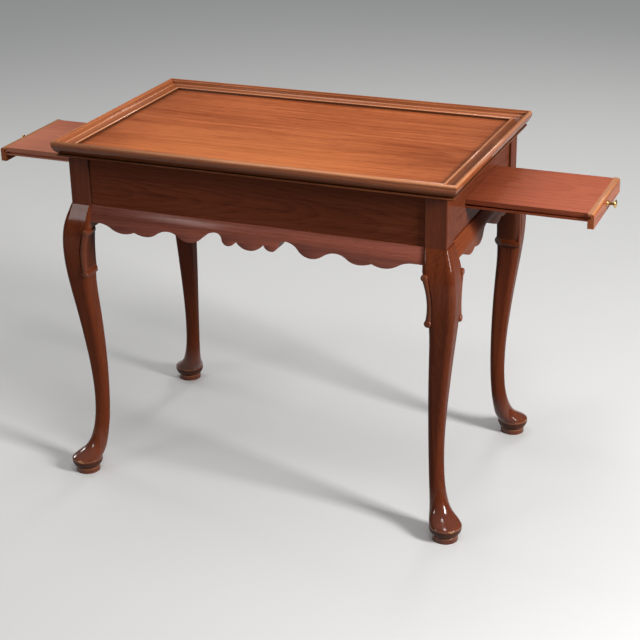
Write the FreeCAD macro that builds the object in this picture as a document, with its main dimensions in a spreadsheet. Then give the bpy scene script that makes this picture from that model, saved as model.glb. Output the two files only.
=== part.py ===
# Tea table with a moulded tray top, cabriole legs on pad feet, scalloped aprons and a
# pull-out candle slide at each end. Millimetres, +X along the length, +Y to the back, +Z up,
# origin on the floor under the middle of the table. Both slides stand pulled out.
import FreeCAD, Part
import math
import os
import Sketcher
from types import SimpleNamespace

V = FreeCAD.Vector

# Driving dimensions, one cell of the sheet each.
SIZES = {
    # Overall
    "table_length": 762.0,
    "table_depth": 472.0,
    "table_height": 672.0,
    # Moulded rim round the tray
    "rim_overhang": 21.3,
    "rim_width": 34.0,
    "rim_height": 24.3,
    "rim_undercut": 11.0,
    "rim_face_bow": 3.4,
    "rim_edge_round": 3.0,
    "rim_top_flat": 4.5,
    "rim_top_step": 3.6,
    "rim_second_flat": 3.0,
    "rim_second_step": 3.2,
    "rim_cove_width": 3.5,
    "rim_cove_fall": 2.4,
    "rim_ridge_width": 2.4,
    "rim_ridge_bow": 0.7,
    "rim_hollow_bow": 0.9,
    "rim_bead_width": 5.5,
    "rim_bead_level": 10.2,
    "rim_bead_bow": 1.5,
    # Tray field
    "tray_depth": 13.7,
    "board_tongue_length": 6.0,
    "board_tongue_thickness": 4.0,
    # Flat frame with a half-round nose between the rim and the friezes
    "neck_thickness": 4.7,
    "neck_projection": 14.3,
    "neck_width": 72.0,
    # Posts and friezes
    "post_size": 40.0,
    "post_arris": 2.0,
    "frieze_height": 92.0,
    "frieze_thickness": 20.0,
    "frieze_setback": 4.0,
    "tenon_thickness": 10.0,
    "tenon_gap": 3.0,
    "tenon_shoulder": 8.0,
    # Scalloped aprons: heights up from the lobes, places along the edge from the leg or, near
    # the middle of the long aprons, from the middle
    "apron_ledge": 2.0,
    "apron_projection": 10.8,
    "apron_drop": 43.5,
    "apron_trim": 3.0,
    "apron_face_bow": 2.1,
    "leg_arch_end": 18.0,
    "leg_arch_rise": 14.5,
    "first_lobe_at": 69.0,
    "notch_at": 91.0,
    "notch_rise": 4.8,
    "second_lobe_at": 115.0,
    "low_arch_rise": 14.5,
    "third_lobe_from_middle": 117.7,
    "high_arch_from_middle": 66.7,
    "high_arch_rise": 23.7,
    "drop_lobe_from_middle": 41.7,
    "drop_lobe_rise": 3.2,
    "cusp_from_middle": 26.7,
    "cusp_rise": 13.2,
    "end_arch_rise": 20.0,
    # Pad feet
    "foot_offset": 8.7,
    "pad_radius": 29.5,
    "pad_level": 27.0,
    "pad_edge": 1.6,
    "pad_arris": 0.4,
    "pad_bowl_bow": 1.9,
    "pad_underside_radius": 24.5,
    "disc_radius": 23.5,
    "disc_height": 9.5,
    "disc_groove": 1.5,
    # Scroll brackets in the corner of leg and apron
    "scroll_top_drop": 42.0,
    "scroll_foot_drop": 138.0,
    "upper_roll_radius": 6.5,
    "lower_roll_radius": 6.7,
    "lower_roll_setback": 6.6,
    "scroll_back_bow": 5.3,
    "scroll_face_bow": 2.9,
    "scroll_front": 17.0,
    "scroll_corner_cut": 30.0,
    # Candle slides
    "slide_drop": 40.5,
    "slide_width": 199.0,
    "slide_thickness": 15.0,
    "slide_travel": 213.0,
    "slide_groove_height": 4.0,
    "slide_groove_depth": 6.0,
    "slide_groove_level": 3.0,
    "lip_thickness": 11.0,
    "lip_height": 26.5,
    "lip_overlap": 3.5,
    "lip_round": 5.0,
    "lip_tongue_length": 4.0,
    "lip_tongue_thickness": 5.0,
    "stop_pin_radius": 3.0,
    "stop_pin_stand": 8.0,
    "stop_pin_cover": 5.0,
    "stop_pin_spacing": 120.0,
    # Turned pulls
    "knob_drop": 13.5,
    "knob_flange_radius": 5.5,
    "knob_flange_thickness": 2.0,
    "knob_neck_radius": 2.6,
    "knob_head_radius": 8.0,
    "knob_projection": 17.0,
    "knob_head_thickness": 4.0,
    "knob_throat_bow": 1.3,
    "knob_stem_radius": 1.75,
    # Runners and the stop between them
    "runner_width": 25.0,
    "runner_height": 26.0,
    "runner_below_slide": 4.5,
    "centre_stop_thickness": 16.0,
    "centre_stop_height": 11.0,
    # Corner blocks and the screws that hold the top
    "block_leg": 56.0,
    "block_height": 30.0,
    "screw_from_rail": 10.0,
    "screw_radius": 2.0,
    "screw_head_radius": 4.0,
    "screw_head_height": 2.5,
    "screw_cover": 4.0,
    # Clearances
    "joint_clearance": 0.15,
    "tip_clearance": 1.0,
    "running_clearance": 0.3,
    "side_clearance": 0.5,
    "slot_side_clearance": 1.5,
    "slot_top_clearance": 1.2,
    "slot_bottom_clearance": 0.8,
    "slide_end_clearance": 8.0,
    "screw_clearance": 0.2,
    "block_clearance": 0.5,
}

# Sections of the leg: its level, how far it stands out past the post's outer faces, how far its
# inner faces are set in from the post's (less than nothing where they are sawn off flush), and
# its corner radius. Knee levels are drops below the ledge, shin levels are shares of the way
# from the knee down to the ankle, and foot levels are heights above the pad's edge.
KNEE_SECTIONS = {
    "ledge": (0.0, 1.6, -1.0, 4.0),
    "slope": (17.0, 8.4, -1.0, 7.5),
    "shoulder": (37.0, 15.0, -1.0, 10.0),
    "knee": (75.0, 19.9, 4.0, 12.0),
}
SHIN_SECTIONS = {
    "calf_top": (0.17, 17.6, 12.0, 11.5),
    "calf": (0.36, 9.7, 11.0, 10.5),
    "shin": (0.57, 1.3, 8.0, 10.0),
    "ankle_top": (0.8, -4.8, 6.7, 11.0),
}
FOOT_SECTIONS = {
    "ankle": (97.4, -4.5, 7.9, 13.0),
    "instep_top": (62.4, -0.8, 10.2, 13.8),
    "instep": (34.4, 7.0, 13.0, 16.2),
    "toe": (17.4, 17.3, 15.1, 20.0),
    "crown": (5.4, 32.0, 18.0, 25.6),
}
SECTION_FIELDS = ("level", "out", "inset", "round")
# Angle above level at which the hollow face of a scroll leaves its rolls
ROLL_LEAVE_ANGLE = math.radians(72)

doc = FreeCAD.newDocument("TeaTable")


class Size:
    """A length: its value now, and the expression on the sheet that gives it."""

    def __init__(self, value, text):
        self.value = value
        self.text = text

    @staticmethod
    def of(number):
        if isinstance(number, Size):
            return number
        return Size(float(number), f"({float(number)})")

    def __add__(self, other):
        other = Size.of(other)
        return Size(self.value + other.value, f"({self.text} + {other.text})")

    def __sub__(self, other):
        other = Size.of(other)
        return Size(self.value - other.value, f"({self.text} - {other.text})")

    def __mul__(self, other):
        other = Size.of(other)
        return Size(self.value * other.value, f"({self.text} * {other.text})")

    def __truediv__(self, other):
        other = Size.of(other)
        return Size(self.value / other.value, f"({self.text} / {other.text})")

    def __neg__(self):
        return Size(-self.value, f"(0 - {self.text})")

    __radd__ = __add__
    __rmul__ = __mul__

    def __rsub__(self, other):
        return Size.of(other) - self


NOTHING = Size(0.0, "(0.0)")


def least(first, second):
    return Size(min(first.value, second.value), f"min({first.text}; {second.text})")


def fill_sheet():
    """Writes every driving dimension to the sheet and gives them back as Size values."""
    cells = dict(SIZES)
    for sections in (KNEE_SECTIONS, SHIN_SECTIONS, FOOT_SECTIONS):
        for section, numbers in sections.items():
            for field, number in zip(SECTION_FIELDS, numbers):
                cells[f"{section}_{field}"] = number
    sheet = doc.addObject("Spreadsheet::Sheet", "Sizes")
    sizes = {}
    for row, (alias, number) in enumerate(cells.items(), start=1):
        sheet.set(f"A{row}", alias)
        sheet.set(f"B{row}", str(number))
        sheet.setAlias(f"B{row}", alias)
        sizes[alias] = Size(number, f"Sizes.{alias}")
    doc.recompute()
    return SimpleNamespace(**sizes)


size = fill_sheet()
subparts = []


def bind(item, prop, length):
    item.setExpression(prop, Size.of(length).text)


def piece(label, item):
    """Names a finished sub-part and lists it for writing."""
    item.Label = label
    subparts.append(item)
    return item


# Building blocks

def box(name, x, y, z):
    """A block between a low and a high limit along each axis."""
    block = doc.addObject("Part::Box", name)
    limits = (("Length", "x", x), ("Width", "y", y), ("Height", "z", z))
    for side, axis, (low, high) in limits:
        bind(block, side, high - low)
        bind(block, f"Placement.Base.{axis}", low)
    return block


def upright_cylinder(name, radius, x, y, z):
    """A round bar standing on its lower z limit."""
    bar = doc.addObject("Part::Cylinder", name)
    bind(bar, "Radius", radius)
    bind(bar, "Height", z[1] - z[0])
    bind(bar, "Placement.Base.x", x)
    bind(bar, "Placement.Base.y", y)
    bind(bar, "Placement.Base.z", z[0])
    return bar


def fuse(name, items):
    joined = doc.addObject("Part::MultiFuse", name)
    joined.Shapes = items
    joined.Refine = True
    return joined


def cut(name, base, tool):
    trimmed = doc.addObject("Part::Cut", name)
    trimmed.Base = base
    trimmed.Tool = tool
    return trimmed


def common(name, first, second):
    shared = doc.addObject("Part::Common", name)
    shared.Base = first
    shared.Tool = second
    return shared


def mirrored(name, source, normal):
    copy = doc.addObject("Part::Mirroring", name)
    copy.Source = source
    copy.Base = V(0, 0, 0)
    copy.Normal = normal
    return copy


ACROSS_LENGTH = V(1, 0, 0)
ACROSS_DEPTH = V(0, 1, 0)


def arc_edge(start, end, radius):
    """The short arc from start to end, turning left for a positive radius."""
    chord = end - start
    half = chord.Length / 2
    rise = math.sqrt(max(radius * radius - half * half, 0.0))
    left = V(-chord.y, chord.x, 0).normalize()
    centre = (start + end) * 0.5 + left * math.copysign(rise, radius)
    first, last = (start, end) if radius > 0 else (end, start)
    angles = [math.atan2(p.y - centre.y, p.x - centre.x) for p in (first, last)]
    return Part.ArcOfCircle(Part.Circle(centre, V(0, 0, 1), abs(radius)), *angles)


def bowed(start, end, depth):
    """Radius of the arc from start to end whose middle stands off the straight by depth."""
    run = end[0] - start[0]
    rise = end[1] - start[1]
    return (run * run + rise * rise) / (depth * 8) + depth / 2


def draw(sketch, outline):
    """Draws a closed outline, listed to the left: (x, y) for a straight run to the next point,
    (x, y, radius) for an arc, which turns right where the radius is negative."""
    corners = [V(Size.of(p[0]).value, Size.of(p[1]).value, 0) for p in outline]
    ends = []
    for index, point in enumerate(outline):
        start = corners[index]
        end = corners[(index + 1) % len(corners)]
        if len(point) == 2:
            edge = sketch.addGeometry(Part.LineSegment(start, end))
            ends.append((edge, 1, 2))
            continue
        radius = Size.of(point[2])
        edge = sketch.addGeometry(arc_edge(start, end, radius.value))
        ends.append((edge, 1, 2) if radius.value > 0 else (edge, 2, 1))
        measure = sketch.addConstraint(Sketcher.Constraint("Radius", edge, abs(radius.value)))
        bind(sketch, f"Constraints[{measure}]", radius if radius.value > 0 else -radius)
    for index, (edge, tail, head) in enumerate(ends):
        following, next_tail, next_head = ends[(index + 1) % len(ends)]
        sketch.addConstraint(Sketcher.Constraint("Coincident", edge, head, following, next_tail))
        for kind, place in (("DistanceX", outline[index][0]), ("DistanceY", outline[index][1])):
            place = Size.of(place)
            measure = sketch.addConstraint(Sketcher.Constraint(kind, edge, tail, place.value))
            bind(sketch, f"Constraints[{measure}]", place)


def sketch_in(body, name, plane, outline, level=None):
    """A sketch on one of the body's own origin planes, lifted to a level where one is given."""
    sketch = body.newObject("Sketcher::SketchObject", name)
    support = [item for item in body.Origin.OriginFeatures if item.Role == plane]
    sketch.AttachmentSupport = [(support[0], "")]
    sketch.MapMode = "FlatFace"
    if level is not None:
        bind(sketch, "AttachmentOffset.Base.z", level)
    draw(sketch, outline)
    return sketch


def padded(name, plane, outline, length, level=None, symmetric=False):
    """A body that is one outline pushed out square to its plane."""
    body = doc.addObject("PartDesign::Body", name)
    sketch = sketch_in(body, f"{name}_outline", plane, outline, level)
    pad = body.newObject("PartDesign::Pad", f"{name}_pad")
    pad.Profile = sketch
    pad.SideType = "Symmetric" if symmetric else "One side"
    bind(pad, "Length", length)
    body.Tip = pad
    return body


def turned(name, plane, outline):
    """A body turned about the upright axis of its sketch."""
    body = doc.addObject("PartDesign::Body", name)
    sketch = sketch_in(body, f"{name}_outline", plane, outline)
    turn = body.newObject("PartDesign::Revolution", f"{name}_turn")
    turn.Profile = sketch
    turn.ReferenceAxis = (sketch, ["V_Axis"])
    turn.Angle = 360.0
    body.Tip = turn
    return body


# Shared levels and faces

half_length = size.table_length / 2
half_depth = size.table_depth / 2
post_x = half_length - size.rim_overhang
post_y = half_depth - size.rim_overhang
neck_top = size.table_height - size.rim_height
tray_floor = size.table_height - size.tray_depth
frame_top = neck_top - size.neck_thickness
ledge_level = frame_top - size.frieze_height
frieze_back = size.frieze_setback + size.frieze_thickness
pad_top = size.pad_level + size.pad_edge
slide_top = frame_top - size.slide_drop
slide_bottom = slide_top - size.slide_thickness


def from_left(distance):
    """X at a distance in from the outer face of the left posts."""
    return distance - post_x


def from_front(distance):
    """Y at a distance in from the outer face of the front posts."""
    return distance - post_y


def trapezoid(half_run, outer, width):
    """A mitred length along X in plan: its outer edge at y = outer, width towards +Y."""
    return [(-half_run, outer), (half_run, outer),
            (half_run - width, outer + width), (width - half_run, outer + width)]


def swapped(outline):
    """The same plan with X and Y exchanged, listed to the left again."""
    return [(y, x) for x, y in reversed(outline)]


def mitred_frame(kind, profile, half_run, half_width, width, levels, finish):
    """Four mitred lengths of one moulding; profile(edge) lists its section from an outer edge."""
    height = levels[1] - levels[0]
    lengths = (("front", "YZ_Plane", half_run, half_width, trapezoid(half_run, -half_width, width)),
               ("left", "XZ_Plane", half_width, half_run,
                swapped(trapezoid(half_width, -half_run, width))))
    opposite = {"front": ("back", ACROSS_DEPTH), "left": ("right", ACROSS_LENGTH)}
    for side, plane, run, edge, plan in lengths:
        section = padded(f"{kind}_{side}_run", plane, profile(-edge), run * 2, symmetric=True)
        trim = padded(f"{kind}_{side}_mitre", "XY_Plane", plan, height, levels[0])
        length = finish(f"{kind}_{side}", common(f"{kind}_{side}_mitred", section, trim))
        far_side, normal = opposite[side]
        piece(f"{kind}_{side}", length)
        piece(f"{kind}_{far_side}", mirrored(f"{kind}_{far_side}", length, normal))


# Tray top

def rim_profile(edge):
    top = size.table_height
    first_step = edge + size.rim_top_flat
    second_step = first_step + size.rim_second_flat
    second_top = top - size.rim_top_step
    cove_top = second_top - size.rim_second_step
    ridge_outer = (second_step + size.rim_cove_width, cove_top - size.rim_cove_fall)
    ridge_inner = (ridge_outer[0] + size.rim_ridge_width, ridge_outer[1])
    inner = edge + size.rim_width
    bead_inner = (inner, top - size.rim_bead_level)
    bead_outer = (inner - size.rim_bead_width, bead_inner[1])
    cove_end = (second_step, cove_top)
    face_foot = (edge + size.rim_undercut, neck_top)
    face_top = (edge, top - size.rim_edge_round)
    return [
        face_foot,
        (inner, neck_top),
        (*bead_inner, bowed(bead_inner, bead_outer, size.rim_bead_bow)),
        (*bead_outer, -bowed(bead_outer, ridge_inner, size.rim_hollow_bow)),
        (*ridge_inner, bowed(ridge_inner, ridge_outer, size.rim_ridge_bow)),
        (*ridge_outer, -bowed(ridge_outer, cove_end, size.rim_hollow_bow)),
        cove_end,
        (second_step, second_top),
        (first_step, second_top),
        (first_step, top),
        (edge + size.rim_edge_round, top, size.rim_edge_round),
        (*face_top, bowed(face_top, face_foot, size.rim_face_bow)),
    ]


def make_top_board(screw_holes):
    field_x = half_length - size.rim_width - size.joint_clearance
    field_y = half_depth - size.rim_width - size.joint_clearance
    field = box("top_field", (-field_x, field_x), (-field_y, field_y), (neck_top, tray_floor))
    tongue_x = field_x + size.board_tongue_length
    tongue_y = field_y + size.board_tongue_length
    tongue_foot = (neck_top + tray_floor - size.board_tongue_thickness) / 2
    tongue_top = tongue_foot + size.board_tongue_thickness
    tongue = box("top_tongue", (-tongue_x, tongue_x), (-tongue_y, tongue_y),
                 (tongue_foot, tongue_top))
    blank = fuse("top_blank", [field, tongue])
    piece("top_board", cut("top_board", blank, screw_holes))
    groove_x = tongue_x + size.tip_clearance
    groove_y = tongue_y + size.tip_clearance
    return box("rim_groove", (-groove_x, groove_x), (-groove_y, groove_y),
               (tongue_foot - size.joint_clearance, tongue_top + size.joint_clearance))


def neck_profile(edge):
    nose = size.neck_thickness / 2
    return [
        (edge + nose, frame_top),
        (edge + size.neck_width, frame_top),
        (edge + size.neck_width, neck_top),
        (edge + nose, neck_top, nose),
        (edge, frame_top + nose, nose),
    ]


def make_top(screw_holes):
    groove = make_top_board(screw_holes)
    mitred_frame("rim", rim_profile, half_length, half_depth, size.rim_width,
                 (neck_top, size.table_height), lambda name, run: cut(name, run, groove))
    mitred_frame("neck", neck_profile, post_x + size.neck_projection,
                 post_y + size.neck_projection, size.neck_width,
                 (frame_top, neck_top), lambda name, run: cut(name, run, screw_holes))


# Friezes, with tenons in the posts

def tenon_limits():
    """Where the tenon lies in the frieze's thickness, in from the post's outer face."""
    middle = size.frieze_setback + size.frieze_thickness / 2
    return middle - size.tenon_thickness / 2, middle + size.tenon_thickness / 2


def tenon_tip():
    """How far in from the post's outer face a tenon ends, clear of the tenon that it crosses."""
    return tenon_limits()[1] + size.tenon_gap


def tenon_levels():
    return ledge_level + size.tenon_shoulder, frame_top - size.tenon_shoulder


def make_long_friezes():
    near, far = tenon_limits()
    shoulder = from_left(size.post_size)
    tip = from_left(tenon_tip())
    rail = box("frieze_front_rail", (shoulder, -shoulder),
               (from_front(size.frieze_setback), from_front(frieze_back)),
               (ledge_level, frame_top))
    tongue = box("frieze_front_tenons", (tip, -tip), (from_front(near), from_front(far)),
                 tenon_levels())
    front = piece("frieze_front", fuse("frieze_front", [rail, tongue]))
    piece("frieze_back", mirrored("frieze_back", front, ACROSS_DEPTH))


def make_end_friezes():
    near, far = tenon_limits()
    shoulder = from_front(size.post_size)
    tip = from_front(tenon_tip())
    rail = box("frieze_left_rail", (from_left(size.frieze_setback), from_left(frieze_back)),
               (shoulder, -shoulder), (ledge_level, frame_top))
    tongue = box("frieze_left_tenons", (from_left(near), from_left(far)), (tip, -tip),
                 tenon_levels())
    slot_half = size.slide_width / 2 + size.slot_side_clearance
    slot = box("frieze_left_slot", (-half_length, NOTHING), (-slot_half, slot_half),
               (slide_bottom - size.slot_bottom_clearance, slide_top + size.slot_top_clearance))
    left = piece("frieze_left", cut("frieze_left", fuse("frieze_left_blank", [rail, tongue]), slot))
    piece("frieze_right", mirrored("frieze_right", left, ACROSS_LENGTH))


# Scalloped aprons

def apron_profile(edge):
    """The apron's rounded section; edge is the outer face of the posts."""
    front = edge - size.apron_projection
    back = edge + frieze_back
    ledge = edge + size.frieze_setback - size.apron_ledge
    foot = ledge_level - size.apron_drop - size.apron_trim
    face_radius = bowed((ledge, ledge_level), (front, foot), size.apron_face_bow)
    return [(front, foot), (back, foot), (back, ledge_level), (ledge, ledge_level, face_radius)]


def curve_between(start, end):
    """The edge from one station to the next: two equal arcs between level points, one at a cusp."""
    (x0, z0, cusp0), (x1, z1, cusp1) = start, end
    run = x1 - x0
    rise = z1 - z0
    square = run * run + rise * rise
    if cusp0 or cusp1:
        depth = rise if cusp1 else -rise
        return [(x0, z0, square / (depth * 2))]
    radius = square / (rise * 4)
    return [(x0, z0, radius), ((x0 + x1) / 2, (z0 + z1) / 2, -radius)]


def scalloped_outline(half_run, stations):
    """The face of an apron: straight at the top and ends, scalloped below, the same both ways."""
    foot = ledge_level - size.apron_drop
    left = [(at - half_run, foot + rise, cusp) for at, rise, cusp in stations]
    right = [(-x, z, cusp) for x, z, cusp in reversed(left[:-1])]
    edge = left + right
    outline = [(-half_run, edge[0][1])]
    for start, end in zip(edge, edge[1:]):
        outline += curve_between(start, end)
    outline += [edge[-1][:2], (half_run, edge[-1][1]), (half_run, ledge_level),
                (-half_run, ledge_level)]
    return outline


def make_aprons():
    half_long = post_x - size.post_size
    half_end = post_y - size.post_size
    from_leg = [
        (size.leg_arch_end, size.leg_arch_rise, False),
        (size.first_lobe_at, NOTHING, False),
        (size.notch_at, size.notch_rise, True),
        (size.second_lobe_at, NOTHING, False),
    ]
    third_lobe_at = half_long - size.third_lobe_from_middle
    long_stations = from_leg + [
        ((size.second_lobe_at + third_lobe_at) / 2, size.low_arch_rise, False),
        (third_lobe_at, NOTHING, False),
        (half_long - size.high_arch_from_middle, size.high_arch_rise, False),
        (half_long - size.drop_lobe_from_middle, size.drop_lobe_rise, False),
        (half_long - size.cusp_from_middle, size.cusp_rise, True),
        (half_long, NOTHING, False),
    ]
    end_stations = from_leg + [(half_end, size.end_arch_rise, False)]
    aprons = (
        ("front", "back", ACROSS_DEPTH, "YZ_Plane", "XZ_Plane", post_y, half_long, long_stations),
        ("left", "right", ACROSS_LENGTH, "XZ_Plane", "YZ_Plane", post_x, half_end, end_stations),
    )
    for near, far, normal, across, along, edge, half_run, stations in aprons:
        section = padded(f"apron_{near}_section", across, apron_profile(-edge), half_run * 2,
                         symmetric=True)
        face = padded(f"apron_{near}_face", along, scalloped_outline(half_run, stations),
                      size.table_length, symmetric=True)
        apron = piece(f"apron_{near}", common(f"apron_{near}", section, face))
        piece(f"apron_{far}", mirrored(f"apron_{far}", apron, normal))


# Legs and their scroll brackets

def rounded_square(out, inward, round_radius):
    """A section of the front left leg, between out and inward of its post's outer faces."""
    radius = least(round_radius, (out + inward) / 2 - size.pad_arris)
    left, right = from_left(-out), from_left(inward)
    front, back = from_front(-out), from_front(inward)
    return [
        (left + radius, front), (right - radius, front, radius),
        (right, front + radius), (right, back - radius, radius),
        (right - radius, back), (left + radius, back, radius),
        (left, back - radius), (left, front + radius, radius),
    ]


def leg_sections():
    """Each section of the leg from the ledge down: name, level and outline."""
    knee_level = ledge_level - size.knee_level
    ankle_level = pad_top + size.ankle_level
    levels = {name: ledge_level - getattr(size, f"{name}_level") for name in KNEE_SECTIONS}
    for name in SHIN_SECTIONS:
        levels[name] = knee_level - (knee_level - ankle_level) * getattr(size, f"{name}_level")
    for name in FOOT_SECTIONS:
        levels[name] = pad_top + getattr(size, f"{name}_level")
    for name, level in levels.items():
        out, inset, radius = (getattr(size, f"{name}_{field}") for field in SECTION_FIELDS[1:])
        yield name, level, rounded_square(out, size.post_size - inset, radius)
    pad_reach = size.pad_radius - size.pad_arris
    yield "pad", pad_top, rounded_square(size.foot_offset + pad_reach,
                                         pad_reach - size.foot_offset, pad_reach)


def shaft_body():
    """The leg from its knee ledge down to the edge of its pad, a loft through its sections."""
    body = doc.addObject("PartDesign::Body", "leg_shaft")
    sketches = [sketch_in(body, f"leg_{name}", "XY_Plane", outline, level)
                for name, level, outline in leg_sections()]
    loft = body.newObject("PartDesign::AdditiveLoft", "leg_loft")
    loft.Profile = sketches[0]
    loft.Sections = sketches[1:]
    body.Tip = loft
    return body


def foot_body():
    """The pad and the disc under it, turned about the middle of the foot."""
    groove = size.disc_height + size.disc_groove
    bowl_foot = (size.pad_underside_radius, groove + size.disc_groove)
    bowl_top = (size.pad_radius, size.pad_level)
    foot = turned("leg_foot", "XZ_Plane", [
        (NOTHING, NOTHING),
        (size.disc_radius, NOTHING),
        (size.disc_radius, size.disc_height),
        (size.disc_radius - size.disc_groove, groove),
        (*bowl_foot, bowed(bowl_foot, bowl_top, size.pad_bowl_bow)),
        bowl_top,
        (size.pad_radius, pad_top),
        (NOTHING, pad_top),
    ])
    bind(foot, "Placement.Base.x", from_left(-size.foot_offset))
    bind(foot, "Placement.Base.y", from_front(-size.foot_offset))
    return foot


def scroll_rolls():
    """Middles of the upper and lower rolls: distance in from the post's face, and level."""
    upper = (size.post_size - size.upper_roll_radius,
             ledge_level - size.scroll_top_drop - size.upper_roll_radius)
    lower = (size.post_size - size.lower_roll_radius - size.lower_roll_setback,
             ledge_level - size.scroll_foot_drop + size.lower_roll_radius)
    return upper, lower


def scroll_back_edge():
    """The curve where the scroll meets its leg, from the top of one roll to the foot of the other."""
    (upper, upper_level), (lower, lower_level) = scroll_rolls()
    band_top = (upper - size.upper_roll_radius, upper_level)
    band_foot = (lower - size.lower_roll_radius, lower_level)
    return [
        (upper, upper_level + size.upper_roll_radius, size.upper_roll_radius),
        (*band_top, bowed(band_top, band_foot, size.scroll_back_bow)),
        (*band_foot, size.lower_roll_radius),
    ], (lower, lower_level - size.lower_roll_radius)


def scroll_outline():
    """The C-shaped band with a roll at each end."""
    (upper, upper_level), (lower, lower_level) = scroll_rolls()
    back, foot = scroll_back_edge()
    leave_in = math.cos(ROLL_LEAVE_ANGLE)
    leave_up = math.sin(ROLL_LEAVE_ANGLE)
    face_foot = (lower + size.lower_roll_radius * leave_in,
                 lower_level + size.lower_roll_radius * leave_up)
    face_top = (upper + size.upper_roll_radius * leave_in,
                upper_level - size.upper_roll_radius * leave_up)
    return back + [
        (*foot, size.lower_roll_radius),
        (*face_foot, -bowed(face_foot, face_top, size.scroll_face_bow)),
        (*face_top, size.upper_roll_radius),
    ]


def scroll_recess_outline():
    """What the scroll takes out of the leg, open to the inner side."""
    back, foot = scroll_back_edge()
    clear = size.post_size + size.tip_clearance
    return back + [foot, (clear, foot[1]), (clear, back[0][1])]


def placed(outline, shift):
    return [(shift + point[0], *point[1:]) for point in outline]


def make_scrolls():
    """The two scrolls of the front left leg, mitred together with their inner corner cut off, and
    what they take out of the leg."""
    reach = size.post_size * 2
    foot = ledge_level - size.scroll_foot_drop
    height = size.scroll_foot_drop - size.scroll_top_drop
    corner_sum = size.post_size * 2 - size.scroll_corner_cut
    mitre_start = (from_left(-reach), from_front(-reach))
    mitre_end = (from_left(corner_sum / 2), from_front(corner_sum / 2))
    cut_front = (from_left(corner_sum + reach), from_front(-reach))
    cut_back = (from_left(-reach), from_front(corner_sum + reach))
    beyond_cut = [cut_front, (cut_front[0], cut_back[1]), cut_back]
    cutters = [padded("scroll_corner", "XY_Plane", beyond_cut, height, foot)]
    front_x, front_y = from_left(-size.scroll_front), from_front(-size.scroll_front)
    everywhere = (-size.table_length, size.table_length)
    sides = (
        ("long", "XZ_Plane", -post_x, [mitre_start, cut_front, mitre_end],
         everywhere, (front_y, front_y + reach)),
        ("end", "YZ_Plane", -post_y, [mitre_start, mitre_end, cut_back],
         (front_x, front_x + reach), everywhere),
    )
    scrolls = {}
    for side, plane, shift, half, x_limits, y_limits in sides:
        cutters.append(padded(f"scroll_{side}_recess", plane,
                              placed(scroll_recess_outline(), shift), size.table_length,
                              symmetric=True))
        band = padded(f"scroll_{side}_band", plane, placed(scroll_outline(), shift),
                      size.table_length, symmetric=True)
        mitre = padded(f"scroll_{side}_mitre", "XY_Plane", half, height, foot)
        limit = box(f"scroll_{side}_limit", x_limits, y_limits, (foot, foot + height))
        mitred = common(f"scroll_{side}_mitred", band, mitre)
        scrolls[side] = common(f"scroll_{side}_front_left", mitred, limit)
    return scrolls, cutters


def leg_mortises():
    near, far = tenon_limits()
    clearance = size.joint_clearance
    across = (near - clearance, far + clearance)
    along = (tenon_tip() - size.tip_clearance, size.post_size + clearance)
    foot, top = tenon_levels()
    levels = (foot - clearance, top + clearance)
    plans = (("mortise_long", along, across), ("mortise_end", across, along))
    return [box(name, [from_left(u) for u in x_range], [from_front(v) for v in y_range], levels)
            for name, x_range, y_range in plans]


def make_legs():
    scrolls, recesses = make_scrolls()
    reach = size.post_size * 2
    blank = box("leg_blank", (from_left(-reach), from_left(size.post_size)),
                (from_front(-reach), from_front(size.post_size)), (NOTHING, ledge_level))
    shaft = common("leg_sawn", shaft_body(), blank)
    post = padded("leg_post", "XY_Plane", rounded_square(NOTHING, size.post_size, size.post_arris),
                  frame_top - ledge_level, ledge_level)
    whole = fuse("leg_whole", [post, shaft, foot_body()])
    cutters = fuse("leg_cutters", recesses + leg_mortises())
    masters = {"leg": cut("leg_front_left", whole, cutters),
               "long_scroll": scrolls["long"], "end_scroll": scrolls["end"],
               "corner_block": corner_block()}
    for kind, master in masters.items():
        piece(f"{kind}_front_left", master)
        right = piece(f"{kind}_front_right",
                      mirrored(f"{kind}_front_right", master, ACROSS_LENGTH))
        piece(f"{kind}_back_left", mirrored(f"{kind}_back_left", master, ACROSS_DEPTH))
        piece(f"{kind}_back_right", mirrored(f"{kind}_back_right", right, ACROSS_DEPTH))


# Corner blocks and screws

block_near = size.post_size + size.block_clearance
block_far = frieze_back + size.block_leg
block_foot = frame_top - size.block_height


def screw_places():
    """Two screws to a corner, each in the middle of an arm of the block."""
    beside = frieze_back + size.screw_from_rail
    along = (block_near + block_far - size.screw_from_rail) / 2
    for x_side in (-1, 1):
        for y_side in (-1, 1):
            for x_inset, y_inset in ((along, beside), (beside, along)):
                yield (post_x - x_inset) * x_side, (post_y - y_inset) * y_side


def make_screws():
    """Screws up through the corner blocks, and the holes that they need."""
    tip = tray_floor - size.screw_cover
    screws, holes = [], []
    for index, (x, y) in enumerate(screw_places()):
        shank = upright_cylinder(f"screw_shank_{index}", size.screw_radius, x, y,
                                 (block_foot, tip))
        head = upright_cylinder(f"screw_head_{index}", size.screw_head_radius, x, y,
                                (block_foot - size.screw_head_height, block_foot))
        screws += [shank, head]
        holes.append(upright_cylinder(f"screw_hole_{index}",
                                      size.screw_radius + size.screw_clearance, x, y,
                                      (block_foot, tip + size.tip_clearance)))
    piece("top_screws", fuse("top_screws", screws))
    return fuse("screw_holes", holes)


screw_holes = make_screws()


def corner_block():
    """A glue block behind the front left post, notched round it."""
    plan = [(block_near, frieze_back), (block_far, frieze_back), (frieze_back, block_far),
            (frieze_back, block_near), (block_near, block_near)]
    outline = [(from_left(x), from_front(y)) for x, y in plan]
    blank = padded("corner_block_blank", "XY_Plane", outline, size.block_height, block_foot)
    return cut("corner_block_front_left", blank, screw_holes)


# Candle slides, drawn at the right-hand end and pulled out

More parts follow.
